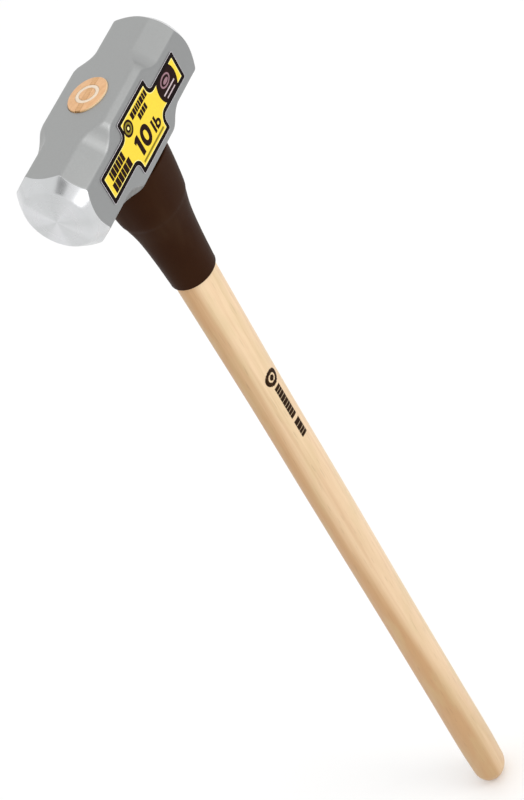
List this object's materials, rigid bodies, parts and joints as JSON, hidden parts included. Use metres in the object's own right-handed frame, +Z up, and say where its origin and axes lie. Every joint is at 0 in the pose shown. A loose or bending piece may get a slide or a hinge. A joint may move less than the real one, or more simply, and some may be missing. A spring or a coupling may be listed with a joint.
{
  "type": "sledge hammer",
  "caption": "Long-handled double-faced sledge hammer: octagonal forged steel head, oval hickory handle wedged in its eye, dark overstrike guard and a plain label",
  "frame": {"origin": "centre of the butt end, on the handle's axis, where the handle's lowest point touches a level surface", "axes": "+Z up the handle towards the head; X along the head from striking face to striking face; -Y is the cheek with the label"},
  "size_m": [0.187, 0.0626, 0.914],
  "materials": {
    "head_steel": "satin silver-grey coat over forged steel, with brighter ground bevels and crowned striking faces",
    "hickory": "clear-lacquered pale hickory, grain along the handle",
    "wedge_wood": "bare hardwood, end grain showing",
    "bare_steel": "bare zinc-grey steel, lightly hammered",
    "guard_plastic": "satin dark brown moulded guard",
    "label_film": "semi-gloss yellow printed film with a black border"
  },
  "bodies": {
    "root": {"head": "head_steel", "handle": "hickory", "wooden_wedge": "wedge_wood", "ring_wedge": "bare_steel", "overstrike_guard": "guard_plastic", "label": "label_film"}
  },
  "joints": []
}
